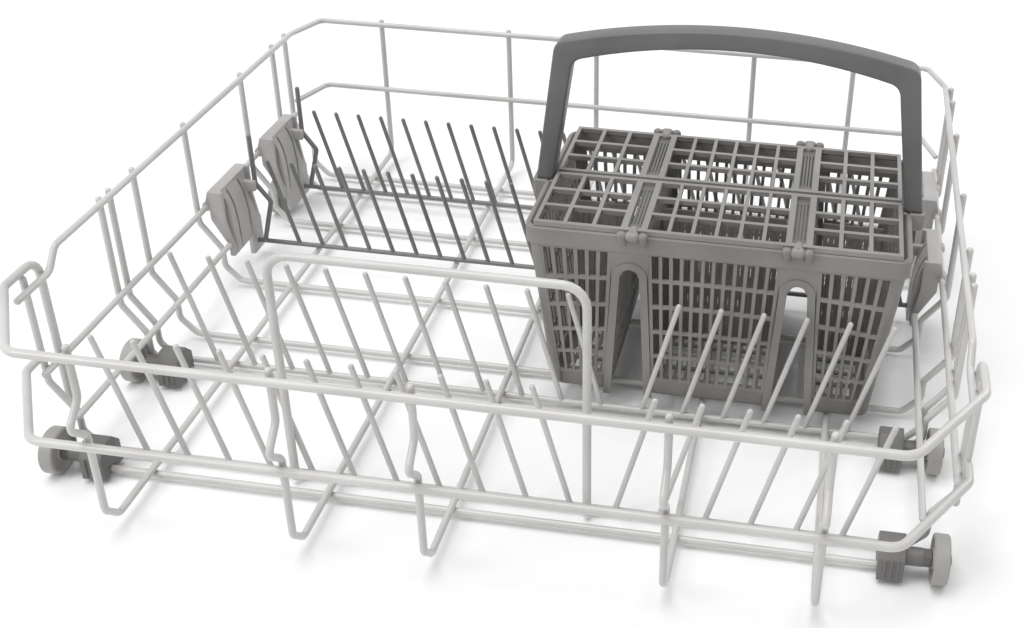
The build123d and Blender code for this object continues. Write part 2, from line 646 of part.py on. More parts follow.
export = {}
for name, place in CROSS_PLACES.items():
    wall_top = UPPER_RAIL_Z - RAIL_R - WELD_GAP if name == "front" else RIM_Z + WIRE_R
    export["cross_wire_" + name] = cross_wire(place, wall_top)
for index, x in enumerate(LONG_PLACES):
    export["long_wire_%d" % (index + 1)] = long_wire(x)
export["front_upper_rail"] = front_upper_rail()
export["front_lower_rail"] = front_lower_rail()
export["top_rim"] = top_rim()
export["back_mid_wire"] = back_mid_wire()
export["front_hoop"] = front_hoop()
export["front_tines"] = tine_row(FRONT_CROSS)
export["middle_tines"] = tine_row(TINE_CROSS)
bar_y = back_from_front(ROLLER_FRONT)
bar_end = CARRIER_OUTER_X - AXLE_BAR_INSET
export["front_axle_bar"] = rod((-bar_end, bar_y, CROSS_Z), (bar_end, bar_y, CROSS_Z), WIRE_R)
for side_name, side in (("left", -1), ("right", 1)):
    start = back_from_front(SIDE_FRONT_Y)
    mid_end = back_from_front(CROSS_PLACES["back"]) - INSIDE
    low_end = back_from_front(CROSS_PLACES["bracket"]) + WIRE_R
    low_x = side * (STEP_X - INSIDE)
    export["side_mid_wire_" + side_name] = rod((side * RIM_X, start, SIDE_MID_Z),
                                               (side * RIM_X, mid_end, SIDE_MID_Z), WIRE_R)
    export["side_low_wire_" + side_name] = rod((low_x, start, SIDE_LOW_Z), (low_x, low_end, SIDE_LOW_Z), WIRE_R)
    for row_name, place in FOLD_PLACES.items():
        export["bracket_%s_%s" % (row_name, side_name)] = bracket(place, side)
    export["carrier_front_" + side_name] = carrier(ROLLER_FRONT, ROLLER_FRONT, side)
    export["carrier_middle_" + side_name] = carrier(ROLLER_MIDDLE, CROSS_PLACES["roller"], side)
    export["roller_front_" + side_name] = roller(ROLLER_FRONT, side)
    export["roller_middle_" + side_name] = roller(ROLLER_MIDDLE, side)
    export["roller_rear_" + side_name] = roller(FOLD_PLACES["rear"] - BRACKET_BEFORE + BRACKET_ROLLER, side)
for row_name, place in FOLD_PLACES.items():
    export["fold_axle_" + row_name] = fold_axle(place)
    export["fold_tines_" + row_name] = fold_tines(place)

export["cutlery_basket"] = cutlery_basket()
export["basket_handle"] = basket_handle()
for lid_name, half in (("front", -1), ("rear", 1)):
    export["lid_" + lid_name] = lid(half)
    export["lid_hinge_pins_" + lid_name] = lid_hinge_pins(half)

os.makedirs("parts", exist_ok=True)
for name, shape in export.items():
    export_step(shape, "parts/%s.step" % name)
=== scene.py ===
import math

import bmesh
import bpy
from mathutils import Matrix, Vector


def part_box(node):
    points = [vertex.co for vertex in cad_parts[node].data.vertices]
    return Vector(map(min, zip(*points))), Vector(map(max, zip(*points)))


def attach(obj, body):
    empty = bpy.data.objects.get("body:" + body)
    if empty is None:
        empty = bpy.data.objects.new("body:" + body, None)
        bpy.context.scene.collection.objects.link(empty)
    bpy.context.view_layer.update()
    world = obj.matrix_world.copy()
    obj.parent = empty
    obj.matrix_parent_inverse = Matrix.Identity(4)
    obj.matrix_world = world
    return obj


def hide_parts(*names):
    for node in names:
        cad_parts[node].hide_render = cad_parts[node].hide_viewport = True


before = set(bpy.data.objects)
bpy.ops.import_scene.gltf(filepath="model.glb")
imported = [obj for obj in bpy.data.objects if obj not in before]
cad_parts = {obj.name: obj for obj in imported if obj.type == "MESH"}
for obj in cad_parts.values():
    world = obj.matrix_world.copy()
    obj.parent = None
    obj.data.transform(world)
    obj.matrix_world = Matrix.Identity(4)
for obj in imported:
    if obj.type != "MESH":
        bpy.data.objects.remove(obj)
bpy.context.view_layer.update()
scene = bpy.context.scene
scene.view_settings.view_transform = "Standard"


# Floor wires and side walls
# Drawn steel wires cross the floor, and both ends of each turn up in a step to make the side
# walls. The whole rack is spot welded, then dipped in a light grey nylon coat.
def put(tree, kind, sockets=None, **settings):
    """Add a node, set its options, and fill or link its sockets."""
    node = tree.nodes.new(kind)
    for name, value in settings.items():
        setattr(node, name, value)
    for name, value in (sockets or {}).items():
        if isinstance(value, bpy.types.NodeSocket):
            tree.links.new(value, node.inputs[name])
        else:
            node.inputs[name].default_value = value
    return node


def surface(name, dark, light, roughness, grain, depth, cloud=18.0):
    """Finish with soft clouds between two tones, uneven gloss and a fine grain."""
    material = bpy.data.materials.new(name)
    material.use_nodes = True
    tree = material.node_tree
    shader = tree.nodes["Principled BSDF"]
    place = put(tree, "ShaderNodeTexCoord").outputs["Object"]
    clouds = put(tree, "ShaderNodeTexNoise", {"Vector": place, "Scale": cloud, "Detail": 4.0})
    tones = put(tree, "ShaderNodeValToRGB", {"Fac": clouds.outputs["Fac"]})
    tones.color_ramp.elements[0].position = 0.36
    tones.color_ramp.elements[0].color = (*dark, 1.0)
    tones.color_ramp.elements[1].position = 0.64
    tones.color_ramp.elements[1].color = (*light, 1.0)
    tree.links.new(tones.outputs["Color"], shader.inputs["Base Color"])
    gloss = put(tree, "ShaderNodeMapRange", {"Value": clouds.outputs["Fac"], "From Min": 0.3, "From Max": 0.7,
                                             "To Min": roughness[0], "To Max": roughness[1]})
    tree.links.new(gloss.outputs["Result"], shader.inputs["Roughness"])
    grains = put(tree, "ShaderNodeTexNoise", {"Vector": place, "Scale": grain, "Detail": 2.0})
    relief = put(tree, "ShaderNodeBump", {"Height": grains.outputs["Fac"], "Strength": 0.5,
                                          "Distance": depth})
    tree.links.new(relief.outputs["Normal"], shader.inputs["Normal"])
    return material


bent_wire = bpy.data.node_groups.new("bent_wire", "GeometryNodeTree")
for label, kind in (("Route", "Geometry"), ("Gauge", "Float"), ("Bend", "Float"), ("Coat", "Material")):
    bent_wire.interface.new_socket(label, in_out="INPUT", socket_type="NodeSocket" + kind)
bent_wire.interface.new_socket("Wire", in_out="OUTPUT", socket_type="NodeSocketGeometry")
wire_in = put(bent_wire, "NodeGroupInput").outputs
run = put(bent_wire, "GeometryNodeMeshToCurve", {"Mesh": wire_in["Route"]}).outputs["Curve"]
bends = put(bent_wire, "GeometryNodeFilletCurve", {"Curve": run, "Radius": wire_in["Bend"], "Count": 5,
                                                   "Limit Radius": True}, mode="POLY").outputs["Curve"]
section = put(bent_wire, "GeometryNodeCurvePrimitiveCircle", {"Resolution": 14, "Radius": wire_in["Gauge"]})
tube = put(bent_wire, "GeometryNodeCurveToMesh", {"Curve": bends, "Profile Curve": section.outputs["Curve"],
                                                  "Fill Caps": True})
ends = put(bent_wire, "GeometryNodeCurveEndpointSelection", {"Start Size": 1, "End Size": 1})
ball = put(bent_wire, "GeometryNodeMeshUVSphere", {"Segments": 14, "Rings": 7, "Radius": wire_in["Gauge"]})
tips = put(bent_wire, "GeometryNodeInstanceOnPoints", {
    "Points": bends, "Selection": ends.outputs["Selection"], "Instance": ball.outputs["Mesh"]})
whole = put(bent_wire, "GeometryNodeJoinGeometry")
for made in (tube.outputs["Mesh"], tips.outputs["Instances"]):
    bent_wire.links.new(made, whole.inputs["Geometry"])
smooth = put(bent_wire, "GeometryNodeSetShadeSmooth", {"Geometry": whole.outputs["Geometry"]})
real = put(bent_wire, "GeometryNodeRealizeInstances", {"Geometry": smooth.outputs["Geometry"]})
coated = put(bent_wire, "GeometryNodeSetMaterial", {"Geometry": real.outputs["Geometry"],
                                                    "Material": wire_in["Coat"]})
put(bent_wire, "NodeGroupOutput", {"Wire": coated.outputs["Geometry"]})


def settled(piece):
    """Turn what the modifiers make into the piece's own plain mesh."""
    graph = bpy.context.evaluated_depsgraph_get()
    result = bpy.data.meshes.new_from_object(piece.evaluated_get(graph))
    piece.modifiers.clear()
    piece.data = result
    return piece


def grown(name, points, edges, tree, sizes):
    """Object whose points and edges a node tree grows into a finished mesh."""
    mesh = bpy.data.meshes.new(name)
    mesh.from_pydata(points, edges, [])
    piece = bpy.data.objects.new(name, mesh)
    scene.collection.objects.link(piece)
    grow = piece.modifiers.new(tree.name, "NODES")
    grow.node_group = tree
    for item in tree.interface.items_tree:
        if item.in_out == "INPUT" and item.name in sizes:
            grow[item.identifier] = sizes[item.name]
    return piece


def bent(name, routes, gauge, bend, coat):
    """Wires along routes of points, with rounded bends and tips."""
    points, edges = [], []
    for route in routes:
        first = len(points)
        points += route
        edges += [(index, index + 1) for index in range(first, len(points) - 1)]
    return settled(grown(name, points, edges, bent_wire, {"Gauge": gauge, "Bend": bend, "Coat": coat}))


def mirrored(left):
    """Route that starts on the left and ends as its own mirror image on the right."""
    return left + [(-x, y, z) for x, y, z in reversed(left)]


def kept(piece, body, slot, *nodes):
    """Fix a finished piece to its body in place of the plain solids that it stands for."""
    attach(piece, body)
    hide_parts(*nodes)


grey_coat = surface("grey_nylon_coat", (0.54, 0.532, 0.52), (0.62, 0.612, 0.6), (0.16, 0.24), 900.0,
                    0.00006)
wire_gauge = 0.0021
wire_bend = 0.007
floor_z = 0.00525
step_top, step_low, step_in = 0.0505, 0.0305, 0.0145
base_top, base_in = 0.0165, 0.011
wall_routes = []
cross_nodes = sorted(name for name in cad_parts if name.startswith("cross_wire_"))
for node in cross_nodes:
    low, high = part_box(node)
    y = (low.y + high.y) / 2
    wall = high.x - wire_gauge
    wall_routes.append(mirrored([
        (-wall, y, high.z - wire_gauge), (-wall, y, step_top), (-wall + step_in, y, step_low),
        (-wall + step_in, y, base_top), (-wall + step_in + base_in, y, floor_z)]))
kept(bent("floor_and_wall_wires", wall_routes, wire_gauge, wire_bend, grey_coat),
     "rack", "coated_wire", *cross_nodes)

# Lengthwise wires
# Thinner runs from the front rails, under the floor and up the back wall. Each has a small jog
# outwards between the two rails and a chamfered foot where it meets the floor.
front_y = -0.241325
back_y = 0.2478
long_z = 0.0095
tip_z = 0.13
jog_out, jog_top, jog_low, jog_end, jog_back = 0.0112, 0.097, 0.087, 0.083, 0.073
foot_chamfer = 0.0114
rail_weld = 0.00465
behind_rail = front_y + rail_weld
long_routes = []
long_nodes = sorted(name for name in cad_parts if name.startswith("long_wire_"))
for node in long_nodes:
    low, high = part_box(node)
    x = (low.x + high.x) / 2
    long_routes.append([
        (x, behind_rail, tip_z - wire_gauge), (x, behind_rail, jog_top),
        (x, behind_rail - jog_out, jog_low), (x, behind_rail - jog_out, jog_end),
        (x, behind_rail, jog_back), (x, behind_rail, long_z + foot_chamfer),
        (x, behind_rail + foot_chamfer, long_z), (x, back_y, long_z), (x, back_y, high.z - wire_gauge)])
kept(bent("lengthwise_wires", long_routes, wire_gauge, wire_bend, grey_coat),
     "rack", "coated_wire", *long_nodes)

# Front rails and hoop
# Two thicker rails wrap the front and its corners. The upper one turns down the side walls at
# its ends, and an upright hoop stands on the floor just behind them.
rail_gauge = 0.0025
rail_bend = 0.011
rail_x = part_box("front_upper_rail")[1].x - rail_gauge
upper_z, lower_z, rail_end_z = 0.1245, 0.0682, 0.0275
corner_x, corner_y, return_y, lower_end_y = 0.036, 0.057, 0.089, 0.07085
upper = mirrored([(-rail_x, front_y + return_y, rail_end_z), (-rail_x, front_y + return_y, upper_z),
                  (-rail_x, front_y + corner_y, upper_z), (-rail_x + corner_x, front_y, upper_z)])
lower = mirrored([(-rail_x, front_y + lower_end_y, lower_z), (-rail_x, front_y + corner_y, lower_z),
                  (-rail_x + corner_x, front_y, lower_z)])
kept(bent("front_rails", [upper, lower], rail_gauge, rail_bend, grey_coat), "rack", "coated_wire",
     "front_upper_rail", "front_lower_rail")
low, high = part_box("front_hoop")
hoop_y = (low.y + high.y) / 2
hoop_left, hoop_right, hoop_top = low.x + rail_gauge, high.x - rail_gauge, high.z - rail_gauge
hoop_bend = 0.013
hoop = [(hoop_left, hoop_y, low.z + rail_gauge), (hoop_left, hoop_y, hoop_top),
        (hoop_right, hoop_y, hoop_top), (hoop_right, hoop_y, low.z + rail_gauge)]
kept(bent("upright_hoop", [hoop], rail_gauge, hoop_bend, grey_coat), "rack", "coated_wire", "front_hoop")

# Rim and side wires
# The rim closes the sides and back at the top, dropping at its front ends below the upper rail.
# Straight wires tie the side walls together, and one runs across the back.
rim_x, rim_y, rim_z = 0.25835, 0.243925, 0.1265
rim_drop, drop_y, drop_run, rim_front = 0.012, 0.101, 0.010, 0.059
rim_corner_x, rim_corner_y = 0.012, 0.035
rim = mirrored([(-rim_x, front_y + rim_front, rim_z - rim_drop),
                (-rim_x, front_y + drop_y - drop_run, rim_z - rim_drop), (-rim_x, front_y + drop_y, rim_z),
                (-rim_x, rim_y - rim_corner_y, rim_z), (-rim_x + rim_corner_x, rim_y, rim_z)])
low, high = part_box("back_mid_wire")
back_mid_z = (low.z + high.z) / 2
back_mid = mirrored([(-rim_x, low.y + wire_gauge, back_mid_z), (-rim_x + rim_corner_x, rim_y, back_mid_z)])
tie_nodes = ["front_axle_bar"] + [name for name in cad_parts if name.startswith("side_")]
ties = []
for node in tie_nodes:
    low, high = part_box(node)
    middle = (low + high) / 2
    if node == "front_axle_bar":
        ties.append([(low.x, middle.y, middle.z), (high.x, middle.y, middle.z)])
    else:
        ties.append([(middle.x, low.y, middle.z), (middle.x, high.y, middle.z)])
kept(bent("rim_and_tie_wires", [rim, back_mid] + ties, wire_gauge, wire_bend, grey_coat),
     "rack", "coated_wire", "top_rim", "back_mid_wire", *tie_nodes)

# Fixed plate tines
# Two rows of leaning tines stand on floor wires. Most lean to the left, and the last ones to the
# right, so that plates lie back beside the cutlery basket.
tine_gauge = 0.0017
tine_pitch, tine_first, tine_lean, tine_top = 0.02566, -0.2084, 0.021, 0.087
tine_count, leaning_left = 17, 11
tine_routes = []
for node in ("front_tines", "middle_tines"):
    low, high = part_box(node)
    y = (low.y + high.y) / 2
    for index in range(tine_count):
        x = tine_first + index * tine_pitch
        lean = -tine_lean if index < leaning_left else tine_lean
        tine_routes.append([(x, y, floor_z), (x + lean, y, tine_top - tine_gauge)])
kept(bent("fixed_tines", tine_routes, tine_gauge, wire_bend, grey_coat), "rack", "coated_wire",
     "front_tines", "middle_tines")

# Fold-down rows
# Each row is a dark coated axle in the side brackets, with leaning tines welded along it and a
# finger lever at both ends. It folds towards the back to clear room for pots.
dark_coat = surface("dark_nylon_coat", (0.16, 0.157, 0.155), (0.21, 0.206, 0.203), (0.3, 0.42), 900.0,
                    0.0002)
axle_gauge, fold_gauge, fold_bend = 0.00175, 0.00155, 0.004
fold_pitch, fold_count, fold_height, fold_lean = 0.0182, 24, 0.068, 0.0175
lever_x, lever_neck_x = 0.2385, 0.228
lever_top, lever_shoulder, lever_neck = 0.087, 0.048, 0.034
for row in ("front", "rear"):
    low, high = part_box("fold_axle_" + row)
    y = (low.y + high.y) / 2
    axle_z = low.z + axle_gauge
    axle = [[(low.x, y, axle_z), (high.x, y, axle_z)]]
    for side in (-1, 1):
        axle.append([(side * lever_x, y, axle_z + lever_top - axle_gauge),
                     (side * lever_x, y, axle_z + lever_shoulder),
                     (side * lever_neck_x, y, axle_z + lever_neck),
                     (side * (lever_x - axle_gauge), y, axle_z)])
    kept(bent(row + "_row_axle", axle, axle_gauge, fold_bend, dark_coat), row + "_fold_row", "dark_wire",
         "fold_axle_" + row)
    tines = []
    for index in range(fold_count):
        x = (index - (fold_count - 1) / 2) * fold_pitch
        tines.append([(x, y, axle_z), (x - fold_lean, y, axle_z + fold_height - fold_gauge)])
    kept(bent(row + "_row_tines", tines, fold_gauge, fold_bend, dark_coat), row + "_fold_row", "dark_wire",
         "fold_tines_" + row)


# Side brackets
# Moulded plastic brackets clip over the side wires with collars and carry the axles of the
# fold-down rows. Their inner side is a panelled belly. The rear pair also carries the rear rollers.
def softened(node, name, edge, steps, material):
    """Copy of a solid with its doubled points merged and its edges rounded off."""
    shape = bmesh.new()
    shape.from_mesh(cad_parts[node].data)
    bmesh.ops.remove_doubles(shape, verts=shape.verts, dist=1e-6)
    bmesh.ops.dissolve_limit(shape, angle_limit=0.01, verts=shape.verts, edges=shape.edges)
    mesh = bpy.data.meshes.new(name)
    shape.to_mesh(mesh)
    shape.free()
    piece = bpy.data.objects.new(name, mesh)
    scene.collection.objects.link(piece)
    bevel = piece.modifiers.new("rounded_edges", "BEVEL")
    bevel.width = edge
    bevel.segments = steps
    bevel.limit_method = "ANGLE"
    bevel.angle_limit = math.radians(32)
    piece = settled(piece)
    piece.data.materials.clear()
    piece.data.materials.append(material)
    piece.data.shade_smooth()
    piece.data.set_sharp_from_angle(angle=math.radians(35))
    return piece


def joined(name, pieces, material):
    """One piece from several that share a body and a finish."""
    shape = bmesh.new()
    for piece in pieces:
        shape.from_mesh(piece.data)
        bpy.data.objects.remove(piece)
    for face in shape.faces:
        face.material_index = 0
    mesh = bpy.data.meshes.new(name)
    shape.to_mesh(mesh)
    shape.free()
    mesh.materials.append(material)
    piece = bpy.data.objects.new(name, mesh)
    scene.collection.objects.link(piece)
    return piece


def skinned(name, rings, place, material):
    """Skin over rings that have the same number of points. Two rings make a plate with flat ends."""
    shape = bmesh.new()
    loops = [[shape.verts.new(place + Vector(point)) for point in ring] for ring in rings]
    pairs = list(zip(loops, loops[1:]))
    if len(loops) > 2:
        pairs.append((loops[-1], loops[0]))
    else:
        for loop in loops:
            shape.faces.new(loop)
    for below, above in pairs:
        for step in range(len(below)):
            after = (step + 1) % len(below)
            shape.faces.new((below[step], below[after], above[after], above[step]))
    bmesh.ops.recalc_face_normals(shape, faces=shape.faces)
    mesh = bpy.data.meshes.new(name)
    shape.to_mesh(mesh)
    shape.free()
    mesh.materials.append(material)
    piece = bpy.data.objects.new(name, mesh)
    scene.collection.objects.link(piece)
    return piece


bracket_plastic = surface("bracket_plastic", (0.42, 0.408, 0.4), (0.5, 0.487, 0.478), (0.42, 0.55), 500.0,
                          0.0002)
belly = ((0.2479, 0.0716), (0.2452, 0.0668), (0.2431, 0.0605), (0.2418, 0.0525), (0.2411, 0.044),
         (0.2409, 0.0345), (0.2409, 0.0245), (0.2413, 0.0226), (0.2421, 0.0226), (0.2421, 0.0305),
         (0.2479, 0.0505))
belly_panels = ((0.0045, 0.0105), (0.0128, 0.0282), (0.0305, 0.0335))
collar_x, collar_z, collar_gauge, collar_inset, collar_half = 0.25825, 0.0605, 0.0036, 0.004, 0.002
bracket_edge, tight_bend = 0.0007, 0.001
trim, collars = [], []
for node in sorted(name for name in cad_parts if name.startswith("bracket_")):
    kept(softened(node, "side_" + node, bracket_edge, 2, bracket_plastic), "rack", "bracket_plastic", node)
    low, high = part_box(node)
    side = 1 if high.x > 0 else -1
    for panel in belly_panels:
        rings = [[(side * x, low.y + along, z) for x, z in belly] for along in panel]
        trim.append(skinned("belly_panel", rings, Vector(), bracket_plastic))
    for y in (low.y + collar_inset, high.y - collar_inset):
        collars.append([(side * collar_x, y - collar_half, collar_z),
                        (side * collar_x, y + collar_half, collar_z)])
trim.append(bent("bracket_collars", collars, collar_gauge, tight_bend, bracket_plastic))
bracket_trim = joined("bracket_trim", trim, bracket_plastic)
bracket_trim.data.shade_smooth()
bracket_trim.data.set_sharp_from_angle(angle=math.radians(35))
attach(bracket_trim, "rack")

# Rollers and carriers
# Grey moulded rollers turn on pins, each with a rounded tread, a sunk web and a hub. The front four
# pins belong to dark, ribbed carriers that snap over a floor wire.
carrier_plastic = surface("carrier_plastic", (0.13, 0.127, 0.124), (0.175, 0.171, 0.167), (0.4, 0.55), 500.0,
                          0.0002)
carrier_edge = 0.0012
sleeve_gauge, sleeve_root, sleeve_end = 0.0052, 0.232, 0.2504
rib_gauge, rib_low, rib_high, rib_places = 0.0009, 0.0055, 0.0172, (0.2255, 0.229, 0.2325)
sleeves, ribs = [], []
for node in sorted(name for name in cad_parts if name.startswith("carrier_")):
    kept(softened(node, "clip_on_" + node, carrier_edge, 3, carrier_plastic), "rack", "carrier_plastic", node)
    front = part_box(node)[0].y
    low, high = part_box(node.replace("carrier", "roller"))
    centre = (low + high) / 2
    side = 1 if centre.x > 0 else -1
    sleeves.append([(side * sleeve_root, centre.y, centre.z),
                    (side * (sleeve_end - sleeve_gauge), centre.y, centre.z)])
    for x in rib_places:
        ribs.append([(side * x, front, rib_low), (side * x, front, rib_high)])
sleeve_piece = bent("pin_sleeves", sleeves, sleeve_gauge, tight_bend, carrier_plastic)
rib_piece = bent("carrier_ribs", ribs, rib_gauge, tight_bend, carrier_plastic)
carrier_trim = joined("carrier_trim", [sleeve_piece, rib_piece], carrier_plastic)
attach(carrier_trim, "rack")
roller_plastic = surface("roller_plastic", (0.33, 0.32, 0.305), (0.4, 0.39, 0.375), (0.4, 0.52), 500.0,
                         0.0002)
roller_profile = ((0.0, 0.0025), (0.0, 0.0054), (0.0014, 0.006), (0.0014, 0.0104), (0.0004, 0.0114),
                  (0.0, 0.0119), (0.0, 0.0132), (0.0008, 0.014))
for node in sorted(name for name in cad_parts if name.startswith("roller_")):
    low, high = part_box(node)
    centre = (low + high) / 2
    width = high.x - low.x
    outline = [(low.x + along, radius) for along, radius in roller_profile]
    outline += [(low.x + width - along, radius) for along, radius in reversed(roller_profile)]
    shape = bmesh.new()
    loop = [shape.verts.new((along, centre.y, centre.z + radius)) for along, radius in outline]
    rim_edges = [shape.edges.new((a, b)) for a, b in zip(loop, loop[1:] + loop[:1])]
    bmesh.ops.spin(shape, geom=loop + rim_edges, cent=centre, axis=(1, 0, 0), angle=2 * math.pi, steps=56,
                   use_merge=True)
    bmesh.ops.remove_doubles(shape, verts=shape.verts, dist=1e-6)
    bmesh.ops.recalc_face_normals(shape, faces=shape.faces)
    mesh = bpy.data.meshes.new(node)
    shape.to_mesh(mesh)
    shape.free()
    mesh.materials.append(roller_plastic)
    mesh.shade_smooth()
    mesh.set_sharp_from_angle(angle=math.radians(38))
    wheel = bpy.data.objects.new("turned_" + node, mesh)
    scene.collection.objects.link(wheel)
    place, side = node.split("_")[1:]
    kept(wheel, "%s_%s_roller" % (place, side), "roller_plastic", node)

# Cutlery basket walls
# One grey moulding of six compartments. Its long walls and ends are fine grids of upright slots
# that fan out towards the rim, with solid feet and rounded corner posts.
basket_plastic = surface("basket_plastic", (0.21, 0.2, 0.192), (0.27, 0.259, 0.249), (0.45, 0.6), 450.0,
                         0.0002)
slotted = bpy.data.node_groups.new("slotted_wall", "GeometryNodeTree")
for label, kind in (("Seed", "Geometry"), ("Columns", "Int"), ("Rows", "Int"), ("Upright", "Float"),
                    ("Bar", "Float"), ("Foot Centre", "Float"), ("Head Centre", "Float"),
                    ("Foot Width", "Float"), ("Head Width", "Float"), ("Bottom", "Float"),
                    ("Top", "Float"), ("Sag", "Float"), ("Plastic", "Material")):
    slotted.interface.new_socket(label, in_out="INPUT", socket_type="NodeSocket" + kind)
slotted.interface.new_socket("Wall", in_out="OUTPUT", socket_type="NodeSocketGeometry")
wall_in = put(slotted, "NodeGroupInput").outputs


def reckon(operation, first, second=0.0, third=0.0):
    """One sum of the slotted wall's tree."""
    return put(slotted, "ShaderNodeMath", {0: first, 1: second, 2: third}, operation=operation).outputs[0]


across = reckon("MULTIPLY_ADD", wall_in["Columns"], 2.0, 2.0)
upward = reckon("MULTIPLY_ADD", wall_in["Rows"], 2.0, 2.0)
sheet = put(slotted, "GeometryNodeMeshGrid", {"Vertices X": across, "Vertices Y": upward})
order = put(slotted, "GeometryNodeInputIndex").outputs[0]


def share(step, bar, count):
    """Place of a grid line, from 0 to 1, when bars and slots take turns."""
    pairs = reckon("FLOOR", reckon("DIVIDE", step, 2.0))
    odd = reckon("MODULO", step, 2.0)
    return reckon("DIVIDE", reckon("MULTIPLY_ADD", odd, bar, pairs), reckon("ADD", count, bar))


column = reckon("FLOOR", reckon("DIVIDE", reckon("ADD", order, 0.01), upward))
line = reckon("SUBTRACT", order, reckon("MULTIPLY", column, upward))
u = share(column, wall_in["Upright"], wall_in["Columns"])
v = share(line, wall_in["Bar"], wall_in["Rows"])
centre_x = reckon("MULTIPLY_ADD", v, reckon("SUBTRACT", wall_in["Head Centre"], wall_in["Foot Centre"]),
                  wall_in["Foot Centre"])
width_x = reckon("MULTIPLY_ADD", v, reckon("SUBTRACT", wall_in["Head Width"], wall_in["Foot Width"]),
                 wall_in["Foot Width"])
point_x = reckon("MULTIPLY_ADD", reckon("SUBTRACT", u, 0.5), width_x, centre_x)
level = reckon("MULTIPLY_ADD", v, reckon("SUBTRACT", wall_in["Top"], wall_in["Bottom"]), wall_in["Bottom"])
slack = reckon("MULTIPLY", v, reckon("SUBTRACT", 1.0, v))
hang = reckon("MULTIPLY", slack, reckon("MULTIPLY", point_x, point_x))
point_z = reckon("SUBTRACT", level, reckon("MULTIPLY", hang, wall_in["Sag"]))
spot = put(slotted, "ShaderNodeCombineXYZ", {"X": point_x, "Z": point_z})
placed = put(slotted, "GeometryNodeSetPosition", {"Geometry": sheet.outputs["Mesh"],
                                                  "Position": spot.outputs[0]})
cells = reckon("SUBTRACT", upward, 1.0)
cell_column = reckon("FLOOR", reckon("DIVIDE", reckon("ADD", order, 0.01), cells))
cell_row = reckon("SUBTRACT", order, reckon("MULTIPLY", cell_column, cells))
hole = reckon("MULTIPLY", reckon("MODULO", cell_column, 2.0), reckon("MODULO", cell_row, 2.0))
open_wall = put(slotted, "GeometryNodeDeleteGeometry", {
    "Geometry": placed.outputs["Geometry"], "Selection": reckon("GREATER_THAN", hole, 0.5)}, domain="FACE")
solid = put(slotted, "GeometryNodeRealizeInstances", {"Geometry": open_wall.outputs["Geometry"]})
tinted = put(slotted, "GeometryNodeSetMaterial", {"Geometry": solid.outputs["Geometry"],
                                                  "Material": wall_in["Plastic"]})
put(slotted, "NodeGroupOutput", {"Wall": tinted.outputs["Geometry"]})


def slotted_wall(name, turn, thickness, sizes):
    """Slotted wall turned into its place and given its thickness."""
    piece = settled(grown(name, [(0, 0, 0)], [], slotted, sizes))
    piece.data.transform(turn)
    wall = piece.modifiers.new("wall", "SOLIDIFY")
    wall.thickness = thickness
    wall.offset = 0.0
    return settled(piece)


low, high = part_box("cutlery_basket")
basket = Vector(((low.x + high.x) / 2, (low.y + high.y) / 2, low.z))
base_half, base_depth = 0.099, 0.067
top_half, top_depth = 0.113, 0.068
basket_height, basket_wall = 0.1168, 0.0018
foot_top, mesh_top = 0.013, 0.106
tunnel_x, border = 0.0505, 0.0048
tunnel_base, tunnel_top, tunnel_height = 0.0108, 0.006, 0.093
corner_post = 0.0055
lean_x = (top_half - base_half) / basket_height
lean_y = (top_depth - base_depth) / basket_height
foot_share, head_share = foot_top / basket_height, mesh_top / basket_height


def bay_span(share_up):
    """Edges of the left and centre bays of a long wall at a share of its height."""
    outer = base_half + (top_half - base_half) * share_up - corner_post
    arch = tunnel_base + (tunnel_top - tunnel_base) * min(share_up * 1.34, 1.0) + border
    return outer, tunnel_x + arch, tunnel_x - arch


walls = []
foot_outer, foot_left, foot_inner = bay_span(foot_share)
head_outer, head_left, head_inner = bay_span(head_share)
rows = {"Rows": 5, "Upright": 0.34, "Bar": 0.12, "Bottom": foot_top, "Top": mesh_top,
        "Plastic": basket_plastic}
for half in (-1, 1):
    stand = Matrix.Translation(basket + Vector((0, half * base_depth, 0)))
    stand[1][2] = half * lean_y
    for side in (-1, 1):
        walls.append(slotted_wall("side_bay", stand, basket_wall, rows | {
            "Columns": 6, "Foot Centre": side * (foot_outer + foot_left) / 2,
            "Head Centre": side * (head_outer + head_left) / 2, "Foot Width": foot_outer - foot_left,
            "Head Width": head_outer - head_left, "Sag": 2.6}))
    walls.append(slotted_wall("centre_bay", stand, basket_wall, rows | {
        "Columns": 12, "Foot Width": 2 * foot_inner, "Head Width": 2 * head_inner, "Sag": 2.6}))
for side in (-1, 1):
    turn = Matrix.Translation(basket + Vector((side * base_half, 0, 0)))
    turn = turn @ Matrix.Rotation(math.pi / 2, 4, "Z")
    turn[0][2] = side * lean_x
    walls.append(slotted_wall("end_wall", turn, basket_wall, rows | {
        "Columns": 18, "Foot Width": 2 * (base_depth - corner_post),
        "Head Width": 2 * (top_depth - corner_post), "Sag": 0.0}))
arch_spring = tunnel_height - tunnel_top
for middle in (-tunnel_x, tunnel_x):
    for side in (-1, 1):
        turn = Matrix.Translation(basket + Vector((middle + side * (tunnel_base + 0.0009), 0, 0)))
        turn = turn @ Matrix.Rotation(math.pi / 2, 4, "Z")
        turn[0][2] = side * (tunnel_top - tunnel_base) / arch_spring
        walls.append(slotted_wall("tunnel_wall", turn, basket_wall, rows | {
            "Columns": 18, "Rows": 4, "Upright": 0.3, "Bar": 0.12, "Bottom": foot_top, "Top": arch_spring,
            "Foot Width": 2 * base_depth, "Head Width": 2 * base_depth, "Sag": 0.0}))
